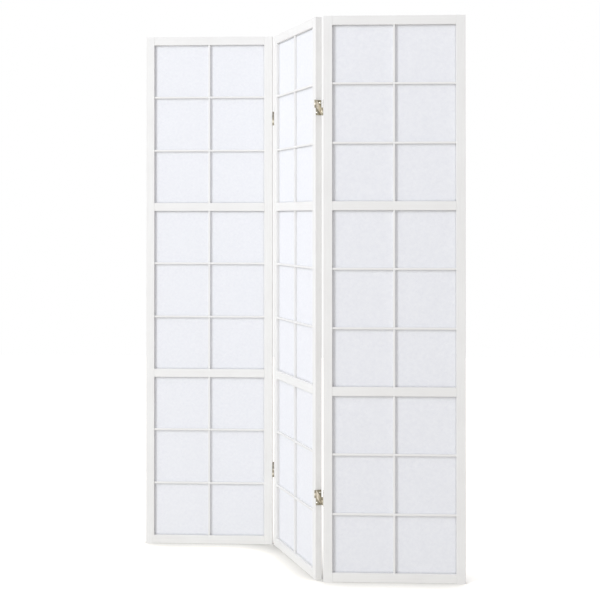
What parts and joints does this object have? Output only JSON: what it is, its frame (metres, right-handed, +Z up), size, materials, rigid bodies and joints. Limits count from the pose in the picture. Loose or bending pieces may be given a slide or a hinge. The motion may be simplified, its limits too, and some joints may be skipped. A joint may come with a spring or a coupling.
{
  "type": "folding screen",
  "caption": "Folding room divider with tall white wood lattice frames, translucent paper panes and double-action hinges joining its panels in a zigzag.",
  "frame": {"origin": "On the floor, at the middle of the bounding box of the screen standing in the zigzag of the picture.", "axes": "+Z is up. The front is -Y. The two outer panels lie along X, and the middle panel runs from back left to front right between them."},
  "size_m": [1.0806, 0.4626, 1.778],
  "materials": {
    "painted_frame": "satin white paint over planed wood",
    "painted_lattice": "satin white paint over planed wood strip",
    "shoji_paper": "matt translucent fibre paper",
    "hinge_metal": "plated pressed steel, satin"
  },
  "bodies": {
    "middle_panel": {"left_fold_middle_leaves": "hinge_metal", "middle_panel_back_cross_bars": "painted_lattice", "middle_panel_back_upright_bars": "painted_lattice", "middle_panel_bottom_rail": "painted_frame", "middle_panel_front_cross_bars": "painted_lattice", "middle_panel_front_upright_bars": "painted_lattice", "middle_panel_left_stile": "painted_frame", "middle_panel_lower_mid_rail": "painted_frame", "middle_panel_paper": "shoji_paper", "middle_panel_right_stile": "painted_frame", "middle_panel_top_rail": "painted_frame", "middle_panel_upper_mid_rail": "painted_frame", "right_fold_middle_leaves": "hinge_metal"},
    "left_links": {"left_fold_links": "hinge_metal", "left_fold_pins": "hinge_metal"},
    "left_panel": {"left_fold_outer_leaves": "hinge_metal", "left_panel_back_cross_bars": "painted_lattice", "left_panel_back_upright_bars": "painted_lattice", "left_panel_bottom_rail": "painted_frame", "left_panel_front_cross_bars": "painted_lattice", "left_panel_front_upright_bars": "painted_lattice", "left_panel_left_stile": "painted_frame", "left_panel_lower_mid_rail": "painted_frame", "left_panel_paper": "shoji_paper", "left_panel_right_stile": "painted_frame", "left_panel_top_rail": "painted_frame", "left_panel_upper_mid_rail": "painted_frame"},
    "right_links": {"right_fold_links": "hinge_metal", "right_fold_pins": "hinge_metal"},
    "right_panel": {"right_fold_outer_leaves": "hinge_metal", "right_panel_back_cross_bars": "painted_lattice", "right_panel_back_upright_bars": "painted_lattice", "right_panel_bottom_rail": "painted_frame", "right_panel_front_cross_bars": "painted_lattice", "right_panel_front_upright_bars": "painted_lattice", "right_panel_left_stile": "painted_frame", "right_panel_lower_mid_rail": "painted_frame", "right_panel_paper": "shoji_paper", "right_panel_right_stile": "painted_frame", "right_panel_top_rail": "painted_frame", "right_panel_upper_mid_rail": "painted_frame"}
  },
  "joints": [
    {"name": "left_fold_front_pins", "type": "hinge", "parent": "middle_panel", "child": "left_links", "pos_m": [-0.09209, 0.20406, 0.889], "axis": [0, 0, 1], "range_deg": [-69, 111]},
    {"name": "left_fold_back_pins", "type": "hinge", "parent": "left_links", "child": "left_panel", "pos_m": [-0.09209, 0.22806, 0.889], "axis": [0, 0, 1], "range_deg": [-90, 0]},
    {"name": "right_fold_front_pins", "type": "hinge", "parent": "middle_panel", "child": "right_links", "pos_m": [0.06968, -0.21736, 0.889], "axis": [0, 0, 1], "range_deg": [-90, 0]},
    {"name": "right_fold_back_pins", "type": "hinge", "parent": "right_links", "child": "right_panel", "pos_m": [0.09209, -0.20876, 0.889], "axis": [0, 0, 1], "range_deg": [-69, 111]}
  ]
}
